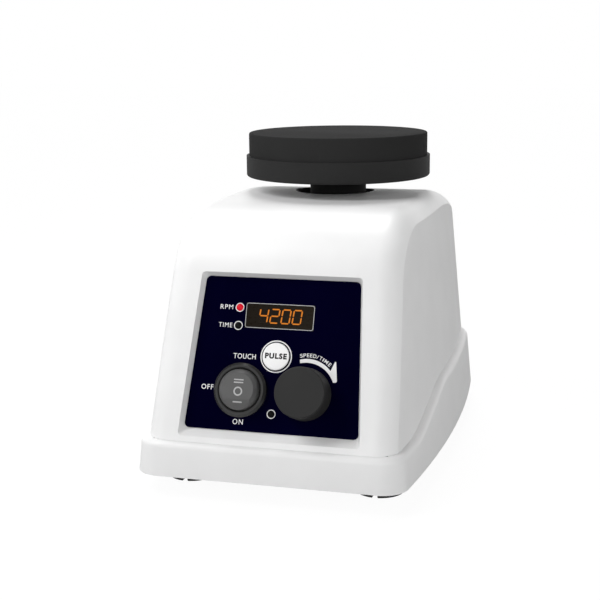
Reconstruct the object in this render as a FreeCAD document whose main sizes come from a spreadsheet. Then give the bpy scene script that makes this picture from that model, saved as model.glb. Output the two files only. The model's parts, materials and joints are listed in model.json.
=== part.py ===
import FreeCAD, Part
import math
import os
import Sketcher

# Bench vortex mixer: a moulded housing on a swept base tray, a sloped control panel
# and a platform head carried on an eccentric that a vertical motor drives.
# Millimetres, +Z up, front towards -Y, origin on the table under the middle of the base.

doc = FreeCAD.newDocument("vortex_mixer")
dims = doc.addObject("Spreadsheet::Sheet", "dims")

driving = [
    ("base_width", 127.2, "base, widest"),
    ("base_depth", 200.0, "base, front to back"),
    ("side_bow", 740.0, "plan radius of the long sides"),
    ("draft", 5.0, "draft of the sides, degrees"),
    ("ground_gap", 8.9, "skirt edge above the table"),
    ("front_corner", 11.0, "skirt corner in plan, front"),
    ("rear_corner", 25.0, "skirt corner in plan, rear"),
    ("rim_front", 23.5, "tray rim height at the front"),
    ("rim_rear", 36.5, "tray rim height at the sides and rear"),
    ("sweep_start", 30.0, "front edge to where the rim starts to rise"),
    ("sweep_run", 50.0, "length of the rise"),
    ("sweep_round", 60.0, "radius at both ends of the rise"),
    ("rim_round", 3.0, "rounding of the rim's outer edge"),
    ("rim_width", 6.0, "tray wall at the rim"),
    ("tray_floor", 3.0, "tray floor thickness"),
    ("seam", 0.05, "parting line between tray and housing"),
    ("housing_inset", 2.5, "housing side behind the skirt"),
    ("housing_rear_round", 20.0, "housing corner in plan, rear"),
    ("edge_round", 12.0, "rounding along front, roof and rear edges"),
    ("crown_round", 40.0, "front of the roof, seen from the side"),
    ("side_crease", 0.8, "flat side cut into the rounding"),
    ("wall", 3.0, "housing wall"),
    ("roof_height", 115.7, "level front of the roof above the table"),
    ("roof_fall", 15.0, "roof slope at the rear, degrees"),
    ("roof_bend", 53.3, "rear edge to where level and fall would meet"),
    ("roof_round", 240.0, "rounding between level and fall"),
    ("panel_slope", 20.46, "panel leans back, degrees"),
    ("panel_setback", 20.8, "front edge to the panel middle"),
    ("panel_mid_height", 58.4, "panel middle above the table"),
    ("panel_top_width", 67.0, "overlay, top edge"),
    ("panel_low_width", 74.8, "overlay, bottom edge"),
    ("panel_length", 64.6, "overlay, along the slope"),
    ("overlay_thick", 0.5, "overlay film on its backing"),
    ("recess_depth", 3.0, "overlay below the housing face"),
    ("recess_flare", 1.3, "recess wall, top and sides"),
    ("recess_lip", 3.6, "recess wall, bottom"),
    ("panel_corner", 2.0, "corners of recess and overlay"),
    ("panel_floor", 2.5, "housing wall behind the overlay"),
    ("fit_gap", 0.1, "clearance of pieces set into the panel"),
    ("window_width", 29.8, "display window"),
    ("window_height", 10.6, "display window"),
    ("window_thick", 2.0, "display window"),
    ("window_down", 16.0, "window middle below the overlay's top edge"),
    ("display_deep", 6.5, "digit module"),
    ("board_thick", 1.6, "control board"),
    ("board_width", 60.0, "control board"),
    ("board_short", 6.6, "control board shorter than the overlay"),
    ("stand_inset", 4.0, "board screws in from the board edges"),
    ("stand_radius", 2.7, "screw stand behind the panel"),
    ("pilot_radius", 1.2, "board screw"),
    ("board_screw_head", 2.4, "board screw head"),
    ("board_screw_thick", 1.6, "board screw head"),
    ("led_radius", 1.45, "indicator lens"),
    ("led_across", 17.7, "speed and time indicators, left of the middle"),
    ("led_down", 12.9, "speed indicator below the overlay's top edge"),
    ("led_pitch", 7.7, "time indicator below the speed indicator"),
    ("led_up", 7.9, "running indicator above the overlay's lower edge"),
    ("led_flange", 1.8, "foot of an indicator lens"),
    ("led_foot", 1.0, "foot of an indicator lens"),
    ("led_proud", 0.9, "lens above the overlay"),
    ("key_radius", 5.75, "pulse key cap"),
    ("key_proud", 0.8, "pulse key above the overlay"),
    ("key_down", 0.5, "pulse key below the panel middle"),
    ("key_travel", 0.5, "pulse key travel"),
    ("key_flange", 1.25, "retaining flange beyond the cap"),
    ("key_flange_thick", 1.4, "retaining flange"),
    ("key_edge", 0.3, "bevel of the key cap"),
    ("tact_width", 6.0, "push switch under the key"),
    ("tact_height", 2.5, "push switch case"),
    ("plunger_radius", 1.75, "plunger of the push switch"),
    ("switch_play", 0.15, "switch plungers short of what presses them"),
    ("control_up", 16.95, "switch and knob above the overlay's lower edge"),
    ("control_across", 14.0, "switch and knob either side of the middle"),
    ("bezel_radius", 11.4, "switch bezel"),
    ("bezel_thick", 2.4, "switch bezel above the overlay"),
    ("switch_radius", 9.9, "switch barrel"),
    ("switch_deep", 17.0, "switch barrel behind the overlay"),
    ("switch_bore", 8.95, "well that the rocker moves in"),
    ("bezel_bevel", 1.0, "bevel of the bezel"),
    ("well_clear", 2.5, "well below the rocker"),
    ("rocker_pivot", 1.2, "rocker pivot above the overlay"),
    ("rocker_radius", 8.7, "ball that the rocker's sides are part of"),
    ("rocker_rise", 4.0, "rocker top above its pivot"),
    ("rocker_drop", 6.0, "rocker below its pivot"),
    ("rocker_edge", 1.8, "bevel of the rocker top"),
    ("rocker_ridge", 4.0, "ridge below the rocker middle"),
    ("rocker_slope", 22.0, "lower facet, degrees"),
    ("rocker_pin_radius", 0.8, "pivot pin"),
    ("knob_radius", 11.0, "knob at its foot"),
    ("knob_face_radius", 10.5, "knob face"),
    ("knob_height", 10.3, "knob, foot to face"),
    ("knob_gap", 0.6, "knob above the overlay"),
    ("knob_skin", 2.0, "knob face thickness over its shaft"),
    ("knob_hollow", 7.0, "hollow in the knob foot"),
    ("knob_edge", 0.5, "rounding of the knob face"),
    ("encoder_shaft_radius", 3.0, "knob shaft"),
    ("bush_radius", 3.5, "threaded bush of the encoder"),
    ("nut_radius", 5.8, "encoder nut, across its corners, half"),
    ("nut_thick", 2.0, "encoder nut"),
    ("bush_proud", 0.8, "bush above its nut and below the knob hollow"),
    ("shaft_seat", 1.5, "encoder case under the shaft"),
    ("shaft_flat", 1.5, "flat of the knob shaft, off its middle"),
    ("encoder_width", 12.0, "encoder case"),
    ("running_gap", 0.05, "shafts in their bushes"),
    ("drive_back", 21.7, "drive axis behind the middle of the base"),
    ("orbit", 1.5, "offset of the head axis from the drive axis"),
    ("opening_radius", 19.0, "roof opening for the neck"),
    ("neck_radius", 13.4, "neck of the head"),
    ("dish_gap", 7.25, "roof to underside of the dish"),
    ("dish_radius", 43.8, "dish rim"),
    ("dish_height", 9.85, "dish"),
    ("dish_floor", 3.0, "dish floor"),
    ("dish_round", 1.2, "lower edge of the dish"),
    ("pad_radius", 42.5, "rubber platform"),
    ("pad_rise", 10.7, "platform above the dish rim"),
    ("pad_round", 0.8, "edge of the platform"),
    ("neck_length", 20.45, "neck, dish to its lower end"),
    ("neck_bore", 8.5, "neck above the bearing"),
    ("neck_relief", 5.0, "hollow above the bearing"),
    ("head_screw_radius", 2.5, "screw that holds the dish"),
    ("head_screw_head", 5.0, "its sunk head"),
    ("bearing_up", 1.0, "bearing above the end of the neck"),
    ("bearing_radius", 11.0, "head bearing"),
    ("bearing_bore", 4.0, "head bearing"),
    ("bearing_height", 7.0, "head bearing"),
    ("ball_radius", 1.9, "balls"),
    ("cage_width", 1.0, "cage round the balls"),
    ("race_depth", 0.62, "balls sunk in each ring"),
    ("motor_drop", 26.2, "roof to the top of the motor"),
    ("motor_radius", 25.0, "motor can"),
    ("motor_length", 52.0, "motor can with its end plate"),
    ("can_wall", 1.6, "motor can"),
    ("can_floor", 2.0, "motor can"),
    ("end_plate", 4.0, "motor end plate"),
    ("end_boss", 2.5, "boss round the upper bush"),
    ("bush_length", 6.0, "lower bush"),
    ("bush_wall", 3.0, "seat round a bush"),
    ("magnet_thick", 5.0, "field magnet"),
    ("magnet_end", 3.0, "magnet short of the end plate"),
    ("air_gap", 1.0, "armature in the magnet"),
    ("winding_inset", 4.0, "winding ends inside the core"),
    ("winding_end", 4.0, "winding ends, along the shaft"),
    ("shaft_float", 0.3, "shaft above the can floor"),
    ("shaft_radius", 3.0, "motor shaft"),
    ("bush_outer", 6.0, "shaft bushes"),
    ("weight_radius", 17.0, "counterweight"),
    ("weight_thick", 6.0, "counterweight"),
    ("boss_radius", 8.0, "eccentric boss"),
    ("boss_up", 4.0, "eccentric boss above the motor"),
    ("boss_cover", 1.0, "boss above the shaft end"),
    ("step_radius", 5.6, "shoulder under the bearing"),
    ("step_height", 2.0, "shoulder under the bearing"),
    ("weight_up", 1.0, "counterweight above the end of the boss"),
    ("pin_screw_radius", 1.5, "screw in the eccentric pin"),
    ("pin_screw_head", 5.2, "its head"),
    ("pin_screw_thick", 2.0, "its head"),
    ("pin_screw_deep", 6.0, "its hole"),
    ("slide_gap", 0.1, "motor in its cradle"),
    ("cradle_wall", 4.0, "cradle tube"),
    ("cradle_flange", 38.0, "cradle foot"),
    ("cradle_base", 3.0, "cradle foot thickness"),
    ("bolt_circle", 33.4, "cradle screws round the drive axis"),
    ("bolt_deep", 2.4, "cradle screws in the tray floor"),
    ("cap_opening", 20.0, "opening in the cradle cap"),
    ("cap_thick", 3.0, "cradle cap"),
    ("cap_skirt", 6.0, "cap down the outside of the cradle"),
    ("cap_wall", 2.0, "cap skirt"),
    ("rib_width", 4.0, "rib that keeps the motor from turning"),
    ("rib_low", 20.8, "rib above the motor foot"),
    ("rib_long", 20.8, "rib"),
    ("rib_proud", 3.2, "rib beyond the can"),
    ("slot_low", 8.0, "cradle slot above the motor foot"),
    ("bumper_radius", 20.0, "bellows, widest"),
    ("bumper_waist", 16.5, "bellows, narrowest"),
    ("bumper_bore", 13.0, "bellows, inside"),
    ("press_travel", 1.2, "head pressed down to its stop"),
    ("press_pin", 8.0, "pin under the motor"),
    ("press_pin_radius", 3.0, "pin under the motor"),
    ("touch_width", 13.0, "switch under the motor"),
    ("touch_depth", 6.5, "switch under the motor"),
    ("touch_plunger", 2.0, "its plunger"),
    ("touch_plunger_radius", 1.4, "its plunger"),
    ("foot_radius", 10.8, "rubber foot"),
    ("foot_edge", 0.5, "bevel of the foot's lower edge"),
    ("foot_side", 21.6, "feet in from the widest side"),
    ("foot_front", 30.5, "front feet behind the skirt edge"),
    ("foot_rear", 24.0, "rear feet ahead of the skirt edge"),
    ("foot_slot", 2.4, "slot across the foot"),
    ("slot_deep", 2.5, "slots across the foot"),
    ("socket_deep", 1.5, "foot in the tray floor"),
    ("stem_radius", 4.0, "stem of a foot"),
    ("barb_radius", 5.2, "barb of the stem"),
    ("barb_rise", 2.5, "barb of the stem"),
    ("post_radius", 4.2, "screw posts"),
    ("post_joint", 22.5, "where tray and housing posts meet"),
    ("post_side_front", 21.6, "front posts in from the widest side"),
    ("post_side_rear", 23.6, "rear posts in from the widest side"),
    ("post_front", 52.0, "front posts behind the skirt edge"),
    ("post_rear", 42.0, "rear posts ahead of the skirt edge"),
    ("screw_radius", 1.75, "housing screw"),
    ("screw_head", 3.5, "screw head"),
    ("head_deep", 2.4, "screw head"),
    ("screw_grip", 14.0, "housing screw past the joint"),
    ("ballast_side", 2.8, "ballast short of the front posts"),
    ("ballast_depth", 52.0, "steel ballast plate"),
    ("ballast_thick", 8.0, "steel ballast plate"),
    ("ballast_back", 40.0, "front edge to the middle of the ballast"),
    ("jack_height", 21.5, "power inlet above the table"),
    ("jack_radius", 4.0, "power inlet barrel"),
    ("jack_flange", 6.4, "inlet flange"),
    ("jack_flange_thick", 1.2, "inlet flange"),
    ("jack_bore", 2.75, "inlet bore"),
    ("jack_bore_deep", 9.5, "inlet bore"),
    ("jack_contact", 0.8, "contact in the inlet"),
    ("jack_nut_radius", 6.2, "inlet nut"),
    ("jack_nut_thick", 2.0, "inlet nut"),
    ("jack_tail", 8.0, "inlet behind the wall"),
    ("jack_pocket", 0.6, "seat round the inlet flange"),
]
for row, (alias, amount, note) in enumerate(driving, 1):
    dims.set("A%d" % row, note)
    dims.set("B%d" % row, str(amount))
    dims.setAlias("B%d" % row, alias)
ball_count = 7
doc.recompute()


class Size:
    # A length with the sheet formula that gives it, so one formula serves both
    # the first drawing of a sketch and the expression that drives it.
    def __init__(self, value, text):
        self.value = value
        self.text = text

    def __add__(self, other):
        other = as_size(other)
        return Size(self.value + other.value, "(%s + %s)" % (self.text, other.text))

    def __sub__(self, other):
        other = as_size(other)
        return Size(self.value - other.value, "(%s - %s)" % (self.text, other.text))

    def __mul__(self, other):
        other = as_size(other)
        return Size(self.value * other.value, "(%s * %s)" % (self.text, other.text))

    def __truediv__(self, other):
        other = as_size(other)
        return Size(self.value / other.value, "(%s / %s)" % (self.text, other.text))

    def __rsub__(self, other):
        return as_size(other) - self

    def __rtruediv__(self, other):
        return as_size(other) / self

    def __neg__(self):
        return Size(-self.value, "(0 - %s)" % self.text)

    __radd__ = __add__
    __rmul__ = __mul__


def as_size(amount):
    if isinstance(amount, Size):
        return amount
    return Size(float(amount), repr(float(amount)))


def turned(function, angle):
    call = getattr(math, function)
    return Size(call(math.radians(angle.value)), "%s(%s * 1 deg)" % (function, angle.text))


class Sizes:
    pass


s = Sizes()
for alias, amount, note in driving:
    setattr(s, alias, Size(float(dims.get(alias)), "dims." + alias))


def bind(item, name, amount):
    item.setExpression(name, as_size(amount).text)


def place(item, x, y, z):
    bind(item, "Placement.Base.x", x)
    bind(item, "Placement.Base.y", y)
    bind(item, "Placement.Base.z", z)
    return item


def cylinder(name, radius, height, x=0, y=0, z=0):
    item = doc.addObject("Part::Cylinder", name)
    bind(item, "Radius", radius)
    bind(item, "Height", height)
    return place(item, x, y, z)


def cone(name, low, high, height, x=0, y=0, z=0):
    item = doc.addObject("Part::Cone", name)
    bind(item, "Radius1", low)
    bind(item, "Radius2", high)
    bind(item, "Height", height)
    return place(item, x, y, z)


def block(name, length, width, height, x=0, y=0, z=0):
    # A box centred on x and y that stands on z.
    item = doc.addObject("Part::Box", name)
    bind(item, "Length", length)
    bind(item, "Width", width)
    bind(item, "Height", height)
    return place(item, x - as_size(length) / 2, y - as_size(width) / 2, z)


def fuse(name, items):
    item = doc.addObject("Part::MultiFuse", name)
    item.Shapes = items
    item.Refine = True
    return item


def common(name, items):
    item = doc.addObject("Part::MultiCommon", name)
    item.Shapes = items
    return item


def cut(name, base, tools):
    item = doc.addObject("Part::Cut", name)
    item.Base = base
    item.Tool = tools[0] if len(tools) == 1 else fuse(name + "_tools", tools)
    return item


def sketch_on(body, name, role):
    sketch = body.newObject("Sketcher::SketchObject", name)
    plane = [p for p in body.Origin.OriginFeatures if p.Role == role][0]
    sketch.AttachmentSupport = [(plane, "")]
    sketch.MapMode = "FlatFace"
    return sketch


def hold(sketch, kind, index, amount, label):
    # Signed distance of a corner from the sketch origin, driven by the sheet.
    amount = as_size(amount)
    if abs(amount.value) < 1e-9:
        sketch.addConstraint(Sketcher.Constraint("PointOnObject", index, 1, -2 if kind == "DistanceX" else -1))
        return
    if amount.value > 0:
        number = sketch.addConstraint(Sketcher.Constraint(kind, -1, 1, index, 1, amount.value))
    else:
        amount = -amount
        number = sketch.addConstraint(Sketcher.Constraint(kind, index, 1, -1, 1, amount.value))
    sketch.renameConstraint(number, label)
    bind(sketch, "Constraints." + label, amount)


def outline(body, name, role, corners):
    # Closed polygon whose corners are driven by the sheet.
    sketch = sketch_on(body, name, role)
    spots = [FreeCAD.Vector(as_size(a).value, as_size(b).value, 0) for a, b in corners]
    count = len(spots)
    for i in range(count):
        sketch.addGeometry(Part.LineSegment(spots[i], spots[(i + 1) % count]), False)
    for i in range(count):
        sketch.addConstraint(Sketcher.Constraint("Coincident", i, 2, (i + 1) % count, 1))
    for i, (a, b) in enumerate(corners):
        hold(sketch, "DistanceX", i, a, "across%d" % i)
        hold(sketch, "DistanceY", i, b, "along%d" % i)
    return sketch


def padded(name, role, corners, length, midplane=False):
    body = doc.addObject("PartDesign::Body", name)
    pad = body.newObject("PartDesign::Pad", name + "_pad")
    pad.Profile = outline(body, name + "_outline", role, corners)
    if midplane:
        pad.SideType = "Symmetric"
    bind(pad, "Length", length)
    return body


def turned_body(name, corners):
    # A round piece: half section (radius, height) revolved about the vertical.
    body = doc.addObject("PartDesign::Body", name)
    section = outline(body, name + "_section", "XZ_Plane", corners)
    spin = body.newObject("PartDesign::Revolution", name + "_turn")
    spin.Profile = section
    spin.ReferenceAxis = (section, ["V_Axis"])
    spin.Angle = 360
    return body


def rounded(body, name, radius, test):
    # Rounds the tip's edges that pass the test.
    doc.recompute()
    tip = body.Tip
    edges = ["Edge%d" % (i + 1) for i, edge in enumerate(tip.Shape.Edges) if test(edge.BoundBox)]
    item = body.newObject("PartDesign::Fillet", name)
    item.Base = (tip, edges)
    bind(item, "Radius", radius)
    return item


def chain_round(name, base, radius, numbers):
    item = doc.addObject("Part::Fillet", name)
    item.Base = base
    item.Edges = [(i, radius.value, radius.value) for i in numbers]
    doc.recompute()
    return item


def looking(face):
    # Upward part of the normal in the middle of a face that runs along X, else none.
    if isinstance(face.Surface, Part.Plane):
        return face.normalAt(0, 0).z
    if isinstance(face.Surface, Part.Cylinder) and abs(face.Surface.Axis.x) > 0.99:
        span = face.ParameterRange
        return face.normalAt((span[0] + span[1]) / 2, (span[2] + span[3]) / 2).z
    return 0


def upward(face, least):
    return looking(face) > least


def downward(face):
    return looking(face) < -0.5


def shoulder_edges(shape, least):
    # Edges where the faces that look up meet the sides, but not the foot.
    found = []
    for i, edge in enumerate(shape.Edges, 1):
        faces = shape.ancestorsOfType(edge, Part.Face)
        looks = [upward(face, least) for face in faces]
        grounded = [downward(face) for face in faces]
        if len(faces) == 2 and looks[0] != looks[1] and not any(grounded):
            found.append(i)
    return found


# Derived places
half_width = s.base_width / 2
front = -s.base_depth / 2
rear = s.base_depth / 2
slope_tan = turned("tan", s.panel_slope)
slope_cos = turned("cos", s.panel_slope)
slope_sin = turned("sin", s.panel_slope)
draft_tan = turned("tan", s.draft)
fall_tan = turned("tan", s.roof_fall)
bend_tan = turned("tan", s.roof_fall / 2)
panel_y = front + s.panel_setback
panel_z = s.panel_mid_height
drive_y = s.drive_back
bow_middle = s.side_bow - half_width
floor_top = s.ground_gap + s.tray_floor
proud = s.overlay_thick + s.recess_depth


def face_y(z, out):
    # The sloped front, a distance out from the panel's backing.
    return panel_y + (z - panel_z) * slope_tan - out / slope_cos


def roof_front(out, height):
    # Where the front meets the roof, as (y, z).
    return face_y(height, out), height


def rear_y(z, inset):
    return rear - inset - draft_tan * (z - s.ground_gap)


def roof_rear(inset, height, bend):
    z = (height + fall_tan * (bend - rear + inset - draft_tan * s.ground_gap)) / (1 - fall_tan * draft_tan)
    return rear_y(z, inset), z


def side_cones(name, inset):
    # The bowed, drafted sides: two shallow cones whose common part is the plan.
    tall = s.roof_height + 20
    low = s.side_bow - inset
    high = low - draft_tan * tall
    right = cone(name + "_right", low, high, tall, -bow_middle, 0, s.ground_gap)
    right.Placement.Rotation = FreeCAD.Rotation(FreeCAD.Vector(0, 0, 1), 180)
    left = cone(name + "_left", low, high, tall, bow_middle, 0, s.ground_gap)
    return [right, left]


def rim_line(gap):
    # The swept rim seen from the side, front to rear.
    first = front + s.sweep_start
    second = first + s.sweep_run
    return [(first, s.rim_front + gap), (second, s.rim_rear + gap)]


def panel_spot(x, y, z):
    # x across the panel, y up its slope and z out of it, from its middle.
    y = as_size(y)
    z = as_size(z)
    return x, panel_y + y * slope_sin - z * slope_cos, panel_z + y * slope_cos + z * slope_sin


# Panel pieces are drawn with Z out of the panel, then leaned onto it.
def on_panel(item, x=0, y=0, z=0):
    item.Placement.Rotation = FreeCAD.Rotation(FreeCAD.Vector(1, 0, 0), 90 - s.panel_slope.value)
    bind(item, "Placement.Rotation.Angle", 90 - s.panel_slope)
    return place(item, *panel_spot(x, y, z))


def along_y(name, radius, length, y):
    # A round bar of the power inlet, from y to the rear.
    item = cylinder(name, radius, length, 0, y, s.jack_height)
    item.Placement.Rotation = FreeCAD.Rotation(FreeCAD.Vector(1, 0, 0), -90)
    return item


def along_x(name, radius, length, z):
    # A round bar across the rocker switch, centred on it.
    item = cylinder(name, radius, length, -as_size(length) / 2, 0, z)
    item.Placement.Rotation = FreeCAD.Rotation(FreeCAD.Vector(0, 1, 0), 90)
    return item


def swept_edges(bound):
    return bound.XLength > 50 and bound.ZMax < s.rim_rear.value + 2 and bound.ZMin > s.rim_front.value - 1 \
        and bound.YLength < 0.01 and front.value + 20 < bound.YMin < rear.value - 60


# Base tray
corners = [(front, s.ground_gap), (front + draft_tan * (s.rim_front - s.ground_gap), s.rim_front)]
corners = corners + rim_line(0) + [(rear_y(s.rim_rear, 0), s.rim_rear), (rear, s.ground_gap)]
tray_side = padded("tray_side", "YZ_Plane", corners, s.base_width * 1.5, True)
rounded(tray_side, "tray_sweep", s.sweep_round, swept_edges)
tray_block = common("tray_block", [tray_side] + side_cones("tray_cone", as_size(0)))
doc.recompute()
upright = [(i, e.BoundBox) for i, e in enumerate(tray_block.Shape.Edges, 1) if e.BoundBox.ZLength > 10]
nose = [i for i, b in upright if b.YMax < front.value + 10]
tail = [i for i, b in upright if b.YMin > rear.value - 20]
tray_nose = chain_round("tray_nose", tray_block, s.front_corner, nose)
tail = [i for i, e in enumerate(tray_nose.Shape.Edges, 1)
        if e.BoundBox.ZLength > 10 and e.BoundBox.YMin > rear.value - 20 and abs(e.BoundBox.XMin) > 30]
tray_tail = chain_round("tray_tail", tray_nose, s.rear_corner, tail)
tray_outer = chain_round("tray_outer", tray_tail, s.rim_round, shoulder_edges(tray_tail.Shape, 0.5))

inner_front = front + s.rim_width
inner_rear = rear - s.rim_width
well = padded("tray_well", "YZ_Plane", [
    (inner_front, floor_top), (inner_front, s.rim_rear + 10),
    (inner_rear - draft_tan * (s.rim_rear + 10 - s.ground_gap), s.rim_rear + 10),
    (inner_rear - draft_tan * s.tray_floor, floor_top)], s.base_width * 1.5, True)
tray_well = common("tray_hollow", [well] + side_cones("well_cone", s.rim_width))
doc.recompute()
tail = [i for i, e in enumerate(tray_well.Shape.Edges, 1)
        if e.BoundBox.ZLength > 20 and e.BoundBox.YMin > 0 and abs(e.BoundBox.XMin) > 30]
tray_hollow = chain_round("tray_hollow_tail", tray_well, s.rear_corner - s.rim_width, tail)

post_near = half_width - s.post_side_front
post_far = half_width - s.post_side_rear
foot_x = half_width - s.foot_side
post_spots = [(-post_near, front + s.post_front), (post_near, front + s.post_front),
              (-post_far, rear - s.post_rear), (post_far, rear - s.post_rear)]
post_names = ["front_left", "front_right", "rear_left", "rear_right"]
foot_spots = [(-foot_x, front + s.foot_front), (foot_x, front + s.foot_front),
              (-foot_x, rear - s.foot_rear), (foot_x, rear - s.foot_rear)]
tray_posts = []
tray_holes = []
for word, (x, y) in zip(post_names, post_spots):
    tray_posts.append(cylinder("tray_post_" + word, s.post_radius, s.post_joint - s.ground_gap, x, y, s.ground_gap))
    tray_holes.append(cylinder("tray_bore_" + word, s.screw_radius + s.running_gap, s.post_joint, x, y, 0))
    tray_holes.append(cylinder("tray_sink_" + word, s.screw_head + s.fit_gap, s.head_deep + s.fit_gap,
                               x, y, s.ground_gap))
for word, (x, y) in zip(post_names, foot_spots):
    tray_holes.append(cylinder("foot_socket_" + word, s.foot_radius, s.socket_deep, x, y, s.ground_gap))
    tray_holes.append(cylinder("foot_bore_" + word, s.stem_radius, s.tray_floor, x, y, s.ground_gap))
bolt_spots = []
for k in range(4):
    turn = as_size(45 + 90 * k)
    bolt_spots.append((s.bolt_circle * turned("cos", turn), drive_y + s.bolt_circle * turned("sin", turn)))
for k, (x, y) in enumerate(bolt_spots):
    tray_holes.append(cylinder("cradle_pilot_%d" % k, s.screw_radius, s.bolt_deep, x, y, floor_top - s.bolt_deep))
# The inlet's seat is a small upright flat in the drafted rear wall.
jack_seat = rear - draft_tan * (s.jack_height - s.ground_gap) - s.jack_flange_thick
seat = along_y("jack_seat", s.jack_flange + s.jack_pocket, s.rim_width * 2, jack_seat)
hole = along_y("jack_hole", s.jack_radius + s.fit_gap, s.rim_width * 3, jack_seat - s.rim_width * 2)
tray_shell = cut("tray_shell", tray_outer, [tray_hollow])
tray_solid = fuse("tray_solid", [tray_shell] + tray_posts)
base_tray = cut("base_tray", tray_solid, tray_holes + [seat, hole])

# Upper housing, outside
foot_y = face_y(s.rim_front + s.seam, proud)
corners = [(foot_y, s.rim_front + s.seam)] + rim_line(s.seam)
corners = corners + [(rear_y(s.rim_rear + s.seam, s.housing_inset), s.rim_rear + s.seam)]
bend_y = rear - s.roof_bend
corners = corners + [roof_rear(s.housing_inset, s.roof_height, bend_y), (bend_y, s.roof_height),
                     roof_front(proud, s.roof_height)]
housing_side = padded("housing_side", "YZ_Plane", corners, s.base_width * 1.5, True)
rounded(housing_side, "housing_sweep", s.sweep_round, swept_edges)
crown_y, crown_z = roof_front(proud, s.roof_height)
rounded(housing_side, "housing_crown", s.crown_round,
        lambda b: b.XLength > 50 and abs(b.ZMax - crown_z.value) < 0.01 and abs(b.YMax - crown_y.value) < 0.01)
rounded(housing_side, "housing_bend", s.roof_round,
        lambda b: b.XLength > 50 and abs(b.ZMax - crown_z.value) < 0.01 and abs(b.YMin - bend_y.value) < 0.01)
housing_block = common("housing_block", [housing_side] + side_cones("housing_cone", s.housing_inset))
doc.recompute()


def rear_uprights(shape):
    return [i for i, e in enumerate(shape.Edges, 1)
            if e.BoundBox.ZLength > 30 and e.BoundBox.YMin > 40 and abs(e.BoundBox.XMin) > 20]


housing_tail = chain_round("housing_tail", housing_block, s.housing_rear_round, rear_uprights(housing_block.Shape))
housing_soft = chain_round("housing_soft", housing_tail, s.edge_round, shoulder_edges(housing_tail.Shape, 0.2))
crease = side_cones("crease_cone", s.housing_inset + s.side_crease)
housing_outer = common("housing_outer", [housing_soft] + crease)

# Upper housing, inside
low = s.rim_front - 10
inset = s.housing_inset + s.wall
ceiling = s.roof_height - s.wall
inner_bend = bend_y - s.wall * bend_tan
lining = padded("lining_side", "YZ_Plane", [
    (face_y(low, proud - s.wall), low), (rear_y(low, inset), low),
    roof_rear(inset, ceiling, inner_bend), (inner_bend, ceiling), roof_front(proud - s.wall, ceiling)],
    s.base_width * 1.5, True)
vault_y, vault_z = roof_front(proud - s.wall, ceiling)
rounded(lining, "lining_crown", s.crown_round - s.wall,
        lambda b: b.XLength > 50 and abs(b.ZMax - vault_z.value) < 0.01 and abs(b.YMax - vault_y.value) < 0.01)
rounded(lining, "lining_bend", s.roof_round - s.wall,
        lambda b: b.XLength > 50 and abs(b.ZMax - vault_z.value) < 0.01 and abs(b.YMin - inner_bend.value) < 0.01)
lining_block = common("lining_block", [lining] + side_cones("lining_cone", inset + s.side_crease))
doc.recompute()
lining_tail = chain_round("lining_tail", lining_block, s.housing_rear_round - s.wall, rear_uprights(lining_block.Shape))
lining_soft = chain_round("lining_soft", lining_tail, s.edge_round - s.wall, shoulder_edges(lining_tail.Shape, 0.2))
housing_shell = cut("housing_shell", housing_outer, [lining_soft])

# Panel recess, its backing and what passes through it
half_top = s.panel_top_width / 2
half_low = s.panel_low_width / 2
half_long = s.panel_length / 2
window_y = half_long - s.window_down
board_length = s.panel_length - s.board_short
led_y = half_long - s.led_down
control_y = s.control_up - half_long


def trapezoid(grow, lip):
    return [(-half_low - grow, -half_long - lip), (half_low + grow, -half_long - lip),
            (half_top + grow, half_long + grow), (-half_top - grow, half_long + grow)]


rib = s.panel_floor
backing = padded("panel_backing", "XY_Plane", trapezoid(s.recess_flare + rib, s.recess_flare + rib),
                 s.panel_floor + proud - s.wall + 1)
on_panel(backing, 0, 0, -s.panel_floor)
recess = padded("panel_recess", "XY_Plane", trapezoid(s.fit_gap, s.fit_gap), proud * 2)


def flared(body, name, angle, test):
    # Leans the walls that pass the test outwards from the recess floor.
    doc.recompute()
    tip = body.Tip
    faces = list(enumerate(tip.Shape.Faces, 1))
    item = body.newObject("PartDesign::Draft", name)
    item.Base = (tip, ["Face%d" % i for i, face in faces if test(face.normalAt(0, 0))])
    item.NeutralPlane = (tip, ["Face%d" % i for i, face in faces if face.normalAt(0, 0).z < -0.9])
    item.Reversed = True
    bind(item, "Angle", angle)
    return item


def leaned(run, rise):
    return Size(math.degrees(math.atan(run.value / rise.value)), "atan(%s / %s) / 1 deg" % (run.text, rise.text))


flared(recess, "recess_sides", leaned(s.recess_flare, proud), lambda n: abs(n.z) < 0.5 and n.y > -0.5)
flared(recess, "recess_foot", leaned(s.recess_lip, proud), lambda n: n.y < -0.7 and abs(n.z) < 0.5)
rounded(recess, "recess_corners", s.panel_corner, lambda b: b.ZLength > 1)
on_panel(recess)

board_face = s.overlay_thick - s.window_thick - s.display_deep
stand_x = s.board_width / 2 - s.stand_inset
stand_y = board_length / 2 - s.stand_inset
stand_spots = [(-stand_x, -stand_y), (stand_x, -stand_y), (-stand_x, stand_y), (stand_x, stand_y)]
stand_long = -board_face - s.panel_floor
stands = []
cuts = []
for k, (x, y) in enumerate(stand_spots):
    stands.append(cylinder("stand_%d" % k, s.stand_radius, stand_long + s.panel_floor / 2, x, y, board_face))
    cuts.append(cylinder("stand_pilot_%d" % k, s.pilot_radius, stand_long, x, y, board_face))
through = s.panel_floor + 2
cuts.append(block("window_cut", s.window_width + s.fit_gap * 2, s.window_height + s.fit_gap * 2, through,
                  0, window_y, -through))
cuts.append(cylinder("key_cut", s.key_radius + s.fit_gap * 2, through, 0, -s.key_down, -through))
cuts.append(cylinder("switch_cut", s.switch_radius + s.fit_gap, through, -s.control_across, control_y, -through))
cuts.append(cylinder("bush_cut", s.bush_radius + s.fit_gap, through, s.control_across, control_y, -through))
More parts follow.
